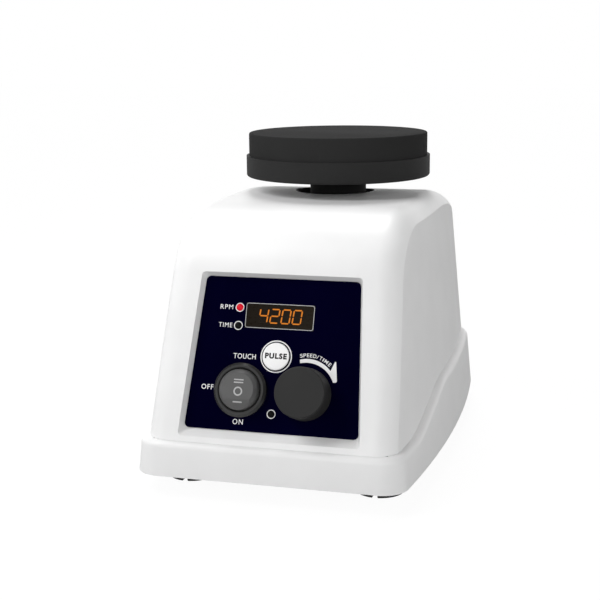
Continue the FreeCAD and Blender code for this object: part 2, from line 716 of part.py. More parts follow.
led_spots = [("speed_led", -s.led_across, led_y), ("time_led", -s.led_across, led_y - s.led_pitch),
             ("status_led", as_size(0), s.led_up - half_long)]
for word, x, y in led_spots:
    cuts.append(cylinder(word + "_cut", s.led_radius + s.fit_gap, through, x, y, -through))
panel_cuts = on_panel(fuse("panel_cuts", cuts))
panel_stands = on_panel(fuse("panel_stands", stands))

columns = []
column_bores = []
for word, (x, y) in zip(post_names, post_spots):
    columns.append(cylinder("column_" + word, s.post_radius, s.roof_height, x, y, s.post_joint))
    column_bores.append(cylinder("column_bore_" + word, s.screw_radius, s.post_joint + s.screw_grip + s.screw_radius, x, y, 0))
# Each column ends on the inside of the wall, so nothing shows outside.
inside_posts = common("inside_posts", [fuse("post_stack", columns), lining_soft])
backing_trim = common("backing_trim", [backing, housing_outer])
housing_solid = fuse("housing_solid", [housing_shell, backing_trim, panel_stands, inside_posts])
mouth = cylinder("roof_opening", s.opening_radius, s.roof_height, 0, drive_y, s.roof_height / 2)
housing_recessed = cut("housing_recessed", housing_solid, [recess])
housing_pierced = cut("housing_pierced", housing_recessed, [panel_cuts])
housing_open = cut("housing_open", housing_pierced, [mouth])
upper_housing = cut("upper_housing", housing_open, column_bores)

finished = [base_tray, upper_housing]


def keep(item):
    finished.append(item)
    return item


def on_drive(item, x=0):
    return place(item, x, drive_y, 0)


# Feet, each a slotted pad in a shallow socket with a barbed stem through the floor
for word, (x, y) in zip(post_names, foot_spots):
    pad_top = s.ground_gap + s.socket_deep
    blank = turned_body("foot_blank_" + word, [
        (0, 0), (s.foot_radius - s.foot_edge, 0), (s.foot_radius, s.foot_edge), (s.foot_radius, pad_top), (s.stem_radius, pad_top), (s.stem_radius, floor_top),
        (s.barb_radius, floor_top), (s.stem_radius, floor_top + s.barb_rise), (0, floor_top + s.barb_rise)])
    place(blank, x, y, 0)
    slots = [block("slot_x_" + word, s.foot_radius * 3, s.foot_slot, s.slot_deep, x, y, 0),
             block("slot_y_" + word, s.foot_slot, s.foot_radius * 3, s.slot_deep, x, y, 0)]
    keep(cut("foot_" + word, blank, slots))

# Housing screws, from below through the tray posts
sink_low = s.ground_gap + s.fit_gap
sink_top = sink_low + s.head_deep
screw_top = s.post_joint + s.screw_grip
for word, (x, y) in zip(post_names, post_spots):
    screw = turned_body("housing_screw_" + word, [
        (0, sink_low), (s.screw_head, sink_low), (s.screw_head, sink_top), (s.screw_radius, sink_top),
        (s.screw_radius, screw_top), (0, screw_top)])
    keep(place(screw, x, y, 0))

ballast_width = (post_near - s.post_radius - s.ballast_side) * 2
keep(block("ballast_plate", ballast_width, s.ballast_depth, s.ballast_thick, 0, front + s.ballast_back, floor_top))

# Overlay with its cut-outs
film = padded("overlay_film", "XY_Plane", trapezoid(as_size(0), as_size(0)), s.overlay_thick)
rounded(film, "overlay_corners", s.panel_corner, lambda b: b.ZLength > 0.1 and b.XLength < 0.1 and b.YLength < 0.1)
film_cuts = [
    block("film_window", s.window_width + s.fit_gap * 2, s.window_height + s.fit_gap * 2, s.overlay_thick * 3,
          0, window_y, -s.overlay_thick),
    cylinder("film_key", s.key_radius + s.fit_gap * 2, s.overlay_thick * 3, 0, -s.key_down, -s.overlay_thick),
    cylinder("film_switch", s.switch_radius + s.fit_gap, s.overlay_thick * 3,
             -s.control_across, control_y, -s.overlay_thick),
    cylinder("film_bush", s.bush_radius + s.fit_gap, s.overlay_thick * 3,
             s.control_across, control_y, -s.overlay_thick)]
for word, x, y in led_spots:
    film_cuts.append(cylinder("film_" + word, s.led_radius + s.fit_gap, s.overlay_thick * 3, x, y, -s.overlay_thick))
keep(on_panel(cut("panel_overlay", film, film_cuts)))


def panel_block(name, length, width, height, x, y, z):
    item = block(name, length, width, height)
    return keep(on_panel(item, x - as_size(length) / 2, y - as_size(width) / 2, z))


# Display, indicators and the board behind them
window_low = s.overlay_thick - s.window_thick
panel_block("display_window", s.window_width, s.window_height, s.window_thick, 0, window_y, window_low)
panel_block("display_module", s.window_width - s.fit_gap * 4, s.window_height - s.fit_gap * 4, s.display_deep,
            0, window_y, board_face)
led_foot = board_face + s.led_foot
led_top = s.overlay_thick + s.led_proud
for word, x, y in led_spots:
    lens = turned_body(word, [
        (0, board_face), (s.led_flange, board_face), (s.led_flange, led_foot), (s.led_radius, led_foot),
        (s.led_radius, led_top - s.led_proud * 0.7), (s.led_radius * 0.75, led_top - s.led_proud * 0.25),
        (s.led_radius * 0.3, led_top), (0, led_top)])
    keep(on_panel(lens, x, y))
board_back = board_face - s.board_thick
board = block("board_blank", s.board_width, board_length, s.board_thick, 0, 0, board_back)
board_cuts = [cylinder("board_switch", s.switch_radius + s.fit_gap * 4, s.board_thick * 3,
                       -s.control_across, control_y, board_back - s.board_thick)]
for k, (x, y) in enumerate(stand_spots):
    board_cuts.append(cylinder("board_bore_%d" % k, s.pilot_radius + s.running_gap, s.board_thick * 3,
                               x, y, board_back - s.board_thick))
keep(on_panel(cut("control_board", board, board_cuts)))
grip = board_face + stand_long - s.fit_gap * 4
for k, (x, y) in enumerate(stand_spots):
    head = board_back - s.board_screw_thick
    screw = turned_body("board_screw_%d" % (k + 1), [
        (0, head), (s.board_screw_head, head), (s.board_screw_head, board_back), (s.pilot_radius, board_back),
        (s.pilot_radius, grip), (0, grip)])
    keep(on_panel(screw, x, y))

# Pulse key and the push switch under it
flange_top = -s.panel_floor - s.fit_gap
flange_low = flange_top - s.key_flange_thick
flange_radius = s.key_radius + s.key_flange
key_top = s.overlay_thick + s.key_proud
key = turned_body("pulse_key", [
    (0, flange_low), (flange_radius, flange_low), (flange_radius, flange_top), (s.key_radius, flange_top),
    (s.key_radius, key_top - s.key_edge), (s.key_radius - s.key_edge, key_top), (0, key_top)])
keep(on_panel(key, 0, -s.key_down))
tip = flange_low - s.key_travel - s.switch_play
keep(on_panel(fuse("pulse_switch", [
    block("tact_case", s.tact_width, s.tact_width, s.tact_height, 0, -s.key_down, board_face),
    cylinder("tact_plunger", s.plunger_radius, tip - board_face, 0, -s.key_down, board_face)])))

# Three-position rocker switch, whose rocker keeps the same gap to its well at any tilt
pivot = s.overlay_thick + s.rocker_pivot
bezel_top = s.overlay_thick + s.bezel_thick
barrel_low = s.overlay_thick - s.switch_deep
well_low = pivot - s.rocker_drop - s.well_clear
bevel = s.bezel_bevel
barrel = turned_body("switch_blank", [
    (0, barrel_low), (s.switch_radius, barrel_low), (s.switch_radius, s.overlay_thick),
    (s.bezel_radius, s.overlay_thick), (s.bezel_radius, bezel_top - bevel), (s.bezel_radius - bevel, bezel_top),
    (s.switch_bore + bevel / 2, bezel_top), (s.switch_bore, bezel_top - bevel / 2), (s.switch_bore, well_low),
    (0, well_low)])
pin_long = s.switch_radius * 2 - s.fit_gap * 2
switch = cut("rocker_bezel", barrel, [along_x("switch_pin_bore", s.rocker_pin_radius, pin_long, pivot)])
keep(on_panel(switch, -s.control_across, control_y))
pin = turned_body("rocker_pin", [
    (0, -pin_long / 2), (s.rocker_pin_radius, -pin_long / 2), (s.rocker_pin_radius, pin_long / 2), (0, pin_long / 2)])
pin.Placement.Rotation = FreeCAD.Rotation(FreeCAD.Vector(0, 1, 0), 90)
keep(place(pin, *panel_spot(-s.control_across, control_y, pivot)))
ridge = -s.rocker_ridge
facet_end = -s.rocker_radius * 1.5
fall = (ridge - facet_end) * turned("tan", s.rocker_slope)
ball = doc.addObject("Part::Sphere", "rocker_ball")
bind(ball, "Radius", s.rocker_radius)
ball.Placement.Rotation = FreeCAD.Rotation(FreeCAD.Vector(0, 0, 1), 60)
wide = s.rocker_radius * 1.5
crown = turned_body("rocker_crown", [
    (0, -s.rocker_drop), (wide, -s.rocker_drop), (wide, s.rocker_rise - s.rocker_edge - s.rocker_radius / 2),
    (s.rocker_radius - s.rocker_edge, s.rocker_rise), (0, s.rocker_rise)])
blank = common("rocker_blank", [ball, crown])
facet = padded("rocker_facet", "YZ_Plane", [
    (ridge, s.rocker_rise), (ridge, s.rocker_rise * 2), (facet_end, s.rocker_rise * 2), (facet_end, s.rocker_rise - fall)],
    s.rocker_radius * 4, True)
bore = along_x("rocker_bore", s.rocker_pin_radius + s.running_gap, s.rocker_radius * 3, 0)
rocker = cut("rocker", blank, [facet, bore])
keep(on_panel(rocker, -s.control_across, control_y, pivot))

# Rotary encoder and its knob
case_top = -s.panel_floor - s.fit_gap
bush_top = s.overlay_thick + s.nut_thick + s.bush_proud
encoder = fuse("encoder_solid", [
    block("encoder_case", s.encoder_width, s.encoder_width, case_top - board_face, 0, 0, board_face),
    cylinder("encoder_bush", s.bush_radius, bush_top - board_face, 0, 0, board_face)])
seat_low = board_face + s.shaft_seat
encoder = cut("encoder_body", encoder, [
    cylinder("encoder_bore", s.encoder_shaft_radius + s.running_gap, bush_top - board_face, 0, 0, seat_low)])
keep(on_panel(encoder, s.control_across, control_y))
hexagon = doc.addObject("Part::Prism", "nut_hexagon")
hexagon.Polygon = 6
bind(hexagon, "Circumradius", s.nut_radius)
bind(hexagon, "Height", s.nut_thick)
nut = cut("encoder_nut", hexagon, [cylinder("nut_bore", s.bush_radius, s.nut_thick * 3, 0, 0, -s.nut_thick)])
keep(on_panel(nut, s.control_across, control_y, s.overlay_thick))
knob_low = s.overlay_thick + s.knob_gap
hollow = bush_top - knob_low + s.bush_proud
bore_top = s.knob_height - s.knob_skin
shaft_low = seat_low + s.running_gap
shaft_long = knob_low + bore_top - shaft_low
bar = cylinder("shaft_bar", s.encoder_shaft_radius, shaft_long, 0, 0, 0)
flat_long = bore_top - hollow
flat = block("shaft_flat", s.encoder_shaft_radius * 3, s.encoder_shaft_radius * 2, flat_long * 2,
             0, s.shaft_flat + s.encoder_shaft_radius, shaft_long - flat_long)
keep(on_panel(cut("encoder_shaft", bar, [flat]), s.control_across, control_y, shaft_low))
knob = turned_body("knob", [
    (0, bore_top), (s.encoder_shaft_radius, bore_top), (s.encoder_shaft_radius, hollow), (s.knob_hollow, hollow),
    (s.knob_hollow, 0), (s.knob_radius, 0), (s.knob_face_radius, s.knob_height), (0, s.knob_height)])
rounded(knob, "knob_edge", s.knob_edge, lambda b: abs(b.ZMin - s.knob_height.value) < 0.01 and b.XLength > 10)
keep(on_panel(knob, s.control_across, control_y, knob_low))

# Power inlet in the rear of the tray
inner_wall = inner_rear - draft_tan * (s.jack_height + s.jack_nut_radius - s.ground_gap)
jack_end = inner_wall - s.jack_tail
jack_face = jack_seat + s.jack_flange_thick
jack = fuse("jack_solid", [along_y("jack_rim", s.jack_flange, s.jack_flange_thick, jack_seat),
                           along_y("jack_barrel", s.jack_radius, jack_face - jack_end, jack_end)])
jack = cut("jack_hollow", jack, [along_y("jack_well", s.jack_bore, s.jack_bore_deep * 2, jack_face - s.jack_bore_deep)])
contact = along_y("jack_pin", s.jack_contact, s.jack_bore_deep, jack_face - s.jack_bore_deep - s.jack_flange_thick)
keep(fuse("power_jack", [jack, contact]))
keep(cut("jack_nut", along_y("jack_nut_blank", s.jack_nut_radius, s.jack_nut_thick, inner_wall - s.jack_nut_thick),
         [along_y("jack_nut_bore", s.jack_radius, s.jack_nut_thick * 3, inner_wall - s.jack_nut_thick * 2)]))

# Motor cradle on the tray floor, closed by a cap
motor_top = s.roof_height - s.motor_drop
motor_low = motor_top - s.motor_length
cradle_floor = floor_top + s.cradle_base
tube_in = s.motor_radius + s.slide_gap
tube_out = tube_in + s.cradle_wall
cradle_top = motor_top + s.slide_gap
cradle = on_drive(turned_body("cradle_blank", [
    (0, floor_top), (s.cradle_flange, floor_top), (s.cradle_flange, cradle_floor), (tube_out, cradle_floor),
    (tube_out, cradle_top), (tube_in, cradle_top), (tube_in, cradle_floor), (0, cradle_floor)]))
slot_low = motor_low + s.slot_low
cradle_cuts = [block("cradle_slot", s.rib_width + s.slide_gap * 2, s.cradle_wall * 3, cradle_top - slot_low + s.cap_thick,
                     0, drive_y - tube_in - s.cradle_wall / 2, slot_low)]
for k, (x, y) in enumerate(bolt_spots):
    cradle_cuts.append(cylinder("cradle_bore_%d" % k, s.screw_radius + s.running_gap, s.cradle_base * 3,
                                x, y, floor_top - s.cradle_base))
keep(cut("motor_cradle", cradle, cradle_cuts))
bolt_top = cradle_floor + s.head_deep
bolt_low = floor_top - s.bolt_deep + s.fit_gap
for k, (x, y) in enumerate(bolt_spots):
    screw = turned_body("cradle_screw_%d" % (k + 1), [
        (0, bolt_top), (s.screw_head, bolt_top), (s.screw_head, cradle_floor), (s.screw_radius, cradle_floor),
        (s.screw_radius, bolt_low), (0, bolt_low)])
    keep(place(screw, x, y, 0))
cap_out = tube_out + s.cap_wall
keep(on_drive(turned_body("cradle_cap", [
    (s.cap_opening, cradle_top), (tube_out, cradle_top), (tube_out, cradle_top - s.cap_skirt),
    (cap_out, cradle_top - s.cap_skirt), (cap_out, cradle_top + s.cap_thick), (s.cap_opening, cradle_top + s.cap_thick)])))

# Rubber bellows under the motor, and the switch that a pressed head works
wave = (motor_low - cradle_floor) / 5
keep(on_drive(turned_body("press_bumper", [
    (s.bumper_bore, cradle_floor), (s.bumper_radius, cradle_floor), (s.bumper_waist, cradle_floor + wave),
    (s.bumper_radius, cradle_floor + wave * 2), (s.bumper_waist, cradle_floor + wave * 3),
    (s.bumper_radius, cradle_floor + wave * 4), (s.bumper_radius, motor_low), (s.bumper_bore, motor_low)])))
pin_low = motor_low - s.press_pin
plunger_top = pin_low - s.press_travel - s.switch_play * 2
keep(fuse("touch_switch", [
    block("touch_case", s.touch_width, s.touch_depth, plunger_top - cradle_floor - s.touch_plunger, 0, drive_y, cradle_floor),
    cylinder("touch_button", s.touch_plunger_radius, plunger_top - cradle_floor, 0, drive_y, cradle_floor)]))

# Motor
can_floor = motor_low + s.can_floor
can_top = motor_top - s.end_plate
field = s.motor_radius - s.can_wall
bush_low_top = can_floor + s.bush_length
seat_out = s.bush_outer + s.bush_wall
can = on_drive(turned_body("can_blank", [
    (0, motor_low), (s.motor_radius, motor_low), (s.motor_radius, can_top), (field, can_top), (field, can_floor),
    (seat_out, can_floor), (seat_out, bush_low_top), (s.bush_outer, bush_low_top), (s.bush_outer, can_floor),
    (0, can_floor)]))
rib_deep = s.rib_proud + s.can_wall / 2
keep(fuse("motor_can", [
    can, cylinder("press_pin_bar", s.press_pin_radius, s.press_pin + s.can_floor / 2, 0, drive_y, pin_low),
    block("can_rib", s.rib_width, rib_deep, s.rib_long, 0, drive_y - s.motor_radius - s.rib_proud + rib_deep / 2,
          motor_low + s.rib_low)]))
boss_end = motor_top + s.end_boss
keep(on_drive(turned_body("motor_end_plate", [
    (s.bush_outer, can_top), (s.motor_radius, can_top), (s.motor_radius, motor_top), (seat_out, motor_top),
    (seat_out, boss_end), (s.bush_outer, boss_end)])))
shaft_bore = s.shaft_radius + s.running_gap
for word, low, high in (("upper_bush", can_top, boss_end), ("lower_bush", can_floor, bush_low_top)):
    keep(on_drive(turned_body(word, [
        (shaft_bore, low), (s.bush_outer, low), (s.bush_outer, high), (shaft_bore, high)])))
magnet_in = field - s.magnet_thick
magnet_low = bush_low_top + s.magnet_end / 2
magnet_top = can_top - s.magnet_end
keep(on_drive(turned_body("field_magnet", [
    (magnet_in, magnet_low), (field, magnet_low), (field, magnet_top), (magnet_in, magnet_top)])))
core = magnet_in - s.air_gap
winding = core - s.winding_inset
core_low = magnet_low + s.winding_end
core_top = magnet_top - s.winding_end
keep(on_drive(turned_body("armature", [
    (s.shaft_radius, magnet_low), (winding, magnet_low), (winding, core_low), (core, core_low), (core, core_top),
    (winding, core_top), (winding, magnet_top), (s.shaft_radius, magnet_top)])))
hub_low = s.roof_height + s.dish_gap - s.neck_length
bearing_low = hub_low + s.bearing_up
bearing_top = bearing_low + s.bearing_height
boss_low = motor_top + s.boss_up
boss_top = bearing_low - s.step_height
shaft_top = boss_top - s.boss_cover
shaft_foot = can_floor + s.shaft_float
keep(cylinder("motor_shaft", s.shaft_radius, shaft_top - shaft_foot, 0, drive_y, shaft_foot))

# Eccentric with its counterweight, opposite the offset
weight_low = boss_low + s.weight_up
disc = cylinder("weight_disc", s.weight_radius, s.weight_thick, 0, drive_y, weight_low)
side = block("weight_side", s.weight_radius * 2, s.weight_radius * 3, s.weight_thick * 3, -s.weight_radius, drive_y,
             weight_low - s.weight_thick)
hub = fuse("eccentric_solid", [
    cylinder("eccentric_boss", s.boss_radius, boss_top - boss_low, 0, drive_y, boss_low),
    common("counterweight", [disc, side]),
    cylinder("eccentric_step", s.step_radius, bearing_low - weight_low, s.orbit, drive_y, weight_low),
    cylinder("eccentric_pin", s.bearing_bore, bearing_top - weight_low, s.orbit, drive_y, weight_low)])
keep(cut("eccentric_hub", hub, [
    cylinder("eccentric_bore", s.shaft_radius, shaft_top - boss_low + s.boss_up, 0, drive_y, boss_low - s.boss_up),
    cylinder("eccentric_tap", s.pin_screw_radius, s.pin_screw_deep, s.orbit, drive_y, bearing_top - s.pin_screw_deep)]))
tap_low = bearing_top - s.pin_screw_deep + s.fit_gap * 4
pin_top = bearing_top + s.pin_screw_thick
keep(on_drive(turned_body("pin_screw", [
    (0, tap_low), (s.pin_screw_radius, tap_low), (s.pin_screw_radius, bearing_top), (s.pin_screw_head, bearing_top),
    (s.pin_screw_head, pin_top), (0, pin_top)]), s.orbit))

# Head bearing
pitch = (s.bearing_bore + s.bearing_radius) / 2
race = s.ball_radius - s.race_depth
middle = bearing_low + s.bearing_height / 2


def race_ring(name, low, high):
    ring = on_drive(turned_body(name + "_blank", [
        (low, bearing_low), (high, bearing_low), (high, bearing_top), (low, bearing_top)]), s.orbit)
    groove = doc.addObject("Part::Torus", name + "_groove")
    bind(groove, "Radius1", pitch)
    bind(groove, "Radius2", s.ball_radius + s.running_gap)
    groove.Placement.Rotation = FreeCAD.Rotation(FreeCAD.Vector(0, 0, 1), 30)
    place(groove, s.orbit, drive_y, middle)
    return keep(cut(name, ring, [groove]))


race_ring("bearing_inner", s.bearing_bore, pitch - race)
race_ring("bearing_outer", pitch + race, s.bearing_radius)
cage_low = middle - s.ball_radius / 2
cage_top = middle + s.ball_radius / 2
cage_half = s.cage_width / 2
balls = [on_drive(turned_body("ball_cage", [
    (pitch - cage_half, cage_low), (pitch + cage_half, cage_low), (pitch + cage_half, cage_top),
    (pitch - cage_half, cage_top)]), s.orbit)]
for k in range(ball_count):
    turn = as_size(360 / ball_count * k + 10)
    ball = doc.addObject("Part::Sphere", "ball_%d" % k)
    bind(ball, "Radius", s.ball_radius)
    ball.Placement.Rotation = FreeCAD.Rotation(FreeCAD.Vector(0, 0, 1), turn.value)
    balls.append(place(ball, s.orbit + pitch * turned("cos", turn), drive_y + pitch * turned("sin", turn), middle))
keep(fuse("bearing_balls", balls))

# Head: neck, dish, its screw and the rubber platform
dish_low = s.roof_height + s.dish_gap
relief = bearing_top + s.neck_relief
tap = s.head_screw_radius
keep(on_drive(turned_body("head_neck", [
    (s.bearing_radius, hub_low), (s.neck_radius, hub_low), (s.neck_radius, dish_low), (tap, dish_low), (tap, relief),
    (s.neck_bore, relief), (s.neck_bore, bearing_top), (s.bearing_radius, bearing_top)]), s.orbit))
dish_in = dish_low + s.dish_floor
dish_top = dish_low + s.dish_height
sunk = dish_in - (s.head_screw_head - tap)
dish = turned_body("head_dish", [
    (tap, dish_low), (s.dish_radius, dish_low), (s.dish_radius, dish_top), (s.pad_radius, dish_top),
    (s.pad_radius, dish_in), (s.head_screw_head, dish_in), (tap, sunk)])
rounded(dish, "dish_edge", s.dish_round,
        lambda b: abs(b.ZMax - dish_low.value) < 0.01 and b.XLength > s.dish_radius.value * 1.9)
keep(on_drive(dish, s.orbit))
keep(on_drive(turned_body("head_screw", [
    (0, relief), (tap, relief), (tap, sunk), (s.head_screw_head, dish_in), (0, dish_in)]), s.orbit))
platform_top = dish_top + s.pad_rise
platform = turned_body("head_pad", [
    (0, dish_in), (s.pad_radius, dish_in), (s.pad_radius, platform_top), (0, platform_top)])
rounded(platform, "pad_edge", s.pad_round,
        lambda b: abs(b.ZMin - platform_top.value) < 0.01 and b.XLength > s.pad_radius.value)
keep(on_drive(platform, s.orbit))

doc.recompute()
os.makedirs("parts", exist_ok=True)
faults = [item.Name for item in doc.Objects if "Invalid" in item.State or "Error" in item.State]
if faults:
    raise RuntimeError("failed: " + ", ".join(faults))
for item in finished:
    shape = item.Shape
    if shape.isNull() or not shape.isValid():
        raise RuntimeError("bad shape: " + item.Label)
    print(item.Label, len(shape.Solids), round(shape.Volume, 1), shape.BoundBox)
    shape.exportStep("parts/%s.step" % item.Label)
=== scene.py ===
import json
import math

import bpy
from mathutils import Matrix, Vector

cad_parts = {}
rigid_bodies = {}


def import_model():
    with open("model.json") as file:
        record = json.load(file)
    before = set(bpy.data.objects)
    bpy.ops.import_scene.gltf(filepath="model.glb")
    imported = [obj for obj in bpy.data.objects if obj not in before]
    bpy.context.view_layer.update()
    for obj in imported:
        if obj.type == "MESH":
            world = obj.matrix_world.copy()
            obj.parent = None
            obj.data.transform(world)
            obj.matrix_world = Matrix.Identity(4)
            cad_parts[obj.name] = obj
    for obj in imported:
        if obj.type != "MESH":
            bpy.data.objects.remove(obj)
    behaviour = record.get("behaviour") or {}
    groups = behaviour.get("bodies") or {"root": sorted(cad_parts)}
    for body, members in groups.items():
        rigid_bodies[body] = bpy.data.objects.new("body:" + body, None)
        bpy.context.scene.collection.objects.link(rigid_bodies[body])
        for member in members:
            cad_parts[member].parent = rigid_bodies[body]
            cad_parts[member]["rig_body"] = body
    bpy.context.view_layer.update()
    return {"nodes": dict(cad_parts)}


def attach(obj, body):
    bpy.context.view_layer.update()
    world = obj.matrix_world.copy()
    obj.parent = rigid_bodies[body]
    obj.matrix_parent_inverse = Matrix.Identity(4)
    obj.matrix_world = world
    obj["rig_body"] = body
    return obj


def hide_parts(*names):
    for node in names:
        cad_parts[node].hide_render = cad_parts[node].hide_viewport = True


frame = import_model()
nodes = frame["nodes"]
mm = 0.001

# panel frame: u across, v up the slope, out along the normal
panel = {"slope": 20.46, "middle": (0.0, -79.2, 58.4), "film": 0.5}
lean = math.radians(panel["slope"])
panelMatrix = Matrix((
    (1, 0, 0, panel["middle"][0] * mm),
    (0, math.sin(lean), -math.cos(lean), panel["middle"][1] * mm),
    (0, math.cos(lean), math.sin(lean), panel["middle"][2] * mm),
    (0, 0, 0, 1)))


def clearSelection():
    if bpy.context.object and bpy.context.object.mode != "OBJECT":
        bpy.ops.object.mode_set(mode="OBJECT")
    bpy.ops.object.select_all(action="DESELECT")


def makeActive(piece):
    clearSelection()
    piece.select_set(True)
    bpy.context.view_layer.objects.active = piece


def editAll(piece):
    makeActive(piece)
    bpy.ops.object.mode_set(mode="EDIT")
    bpy.ops.mesh.select_all(action="SELECT")


def placeMesh(piece, matrix):
    makeActive(piece)
    bpy.ops.object.transform_apply(location=True, rotation=True, scale=True)
    piece.data.transform(matrix)
    piece.data.update()


def onPanel(u, v, out, turn=0.0, tip=0.0):
    spot = Matrix.Translation((u * mm, v * mm, out * mm))
    spin = Matrix.Rotation(math.radians(turn), 4, "Z")
    nod = Matrix.Rotation(math.radians(tip), 4, "X")
    return panelMatrix @ spot @ spin @ nod


# points this near to each other are merged; letters are merged before they are scaled
weld = {"solids": 0.000002, "letters": 0.0001}


def smoothCopy(node, name, angle):
    source = nodes[node]
    piece = bpy.data.objects.new(name, source.data.copy())
    bpy.context.scene.collection.objects.link(piece)
    editAll(piece)
    bpy.ops.mesh.remove_doubles(threshold=weld["solids"])
    bpy.ops.mesh.customdata_custom_splitnormals_clear()
    bpy.ops.object.mode_set(mode="OBJECT")
    bpy.ops.object.shade_smooth_by_angle(angle=math.radians(angle))
    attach(piece, source["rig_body"])
    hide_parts(node)
    return piece


# finishes: broad clouds tint a surface, fine grain sets its gloss and relief
cloud = {"scale": 40.0, "detail": 2.0, "rough": 0.55, "from": 0.3, "to": 0.7}
grain = {"detail": 4.0, "rough": 0.6, "from": 0.25, "to": 0.75}
usual = {"metal": 0.0, "ior": 1.46, "specular": 0.5, "strength": 0.3}


def newMaterial(name):
    material = bpy.data.materials.new(name)
    material.use_nodes = True
    tree = material.node_tree
    tree.nodes.clear()
    output = tree.nodes.new("ShaderNodeOutputMaterial")
    shader = tree.nodes.new("ShaderNodeBsdfPrincipled")
    tree.links.new(shader.outputs["BSDF"], output.inputs["Surface"])
    place = tree.nodes.new("ShaderNodeTexCoord")
    return material, tree, shader, place.outputs["Object"]


def noise(tree, place, scale, pattern):
    item = tree.nodes.new("ShaderNodeTexNoise")
    item.inputs["Scale"].default_value = scale
    item.inputs["Detail"].default_value = pattern["detail"]
    item.inputs["Roughness"].default_value = pattern["rough"]
    tree.links.new(place, item.inputs["Vector"])
    return item.outputs["Fac"]


def ramp(tree, fac, pattern, colours):
    item = tree.nodes.new("ShaderNodeValToRGB")
    places = (pattern["from"], pattern["to"])
    for stop, position, colour in zip(item.color_ramp.elements, places, colours):
        stop.position = position
        stop.color = colour
    tree.links.new(fac, item.inputs["Fac"])
    return item.outputs["Color"]


def bump(tree, shader, height, strength, distance):
    item = tree.nodes.new("ShaderNodeBump")
    item.inputs["Strength"].default_value = strength
    item.inputs["Distance"].default_value = distance
    tree.links.new(height, item.inputs["Height"])
    tree.links.new(item.outputs["Normal"], shader.inputs["Normal"])


def grey(value):
    return (value, value, value, 1.0)


def finish(name, look):
    material, tree, shader, place = newMaterial(name)
    fine = noise(tree, place, look["grain"], grain)
    broad = noise(tree, place, cloud["scale"], cloud)
    tint = ramp(tree, broad, cloud, look["tones"])
    gloss = ramp(tree, fine, grain, [grey(value) for value in look["rough"]])
    tree.links.new(tint, shader.inputs["Base Color"])
    tree.links.new(gloss, shader.inputs["Roughness"])
    shader.inputs["Metallic"].default_value = look.get("metal", usual["metal"])
    shader.inputs["IOR"].default_value = usual["ior"]
    shader.inputs["Specular IOR Level"].default_value = look.get("specular", usual["specular"])
    if "depth" in look:
        bump(tree, shader, fine, look.get("strength", usual["strength"]), look["depth"] * mm)
    if "glow" in look:
        colour, strength = look["glow"]
        shader.inputs["Emission Color"].default_value = colour
        shader.inputs["Emission Strength"].default_value = strength
    return material


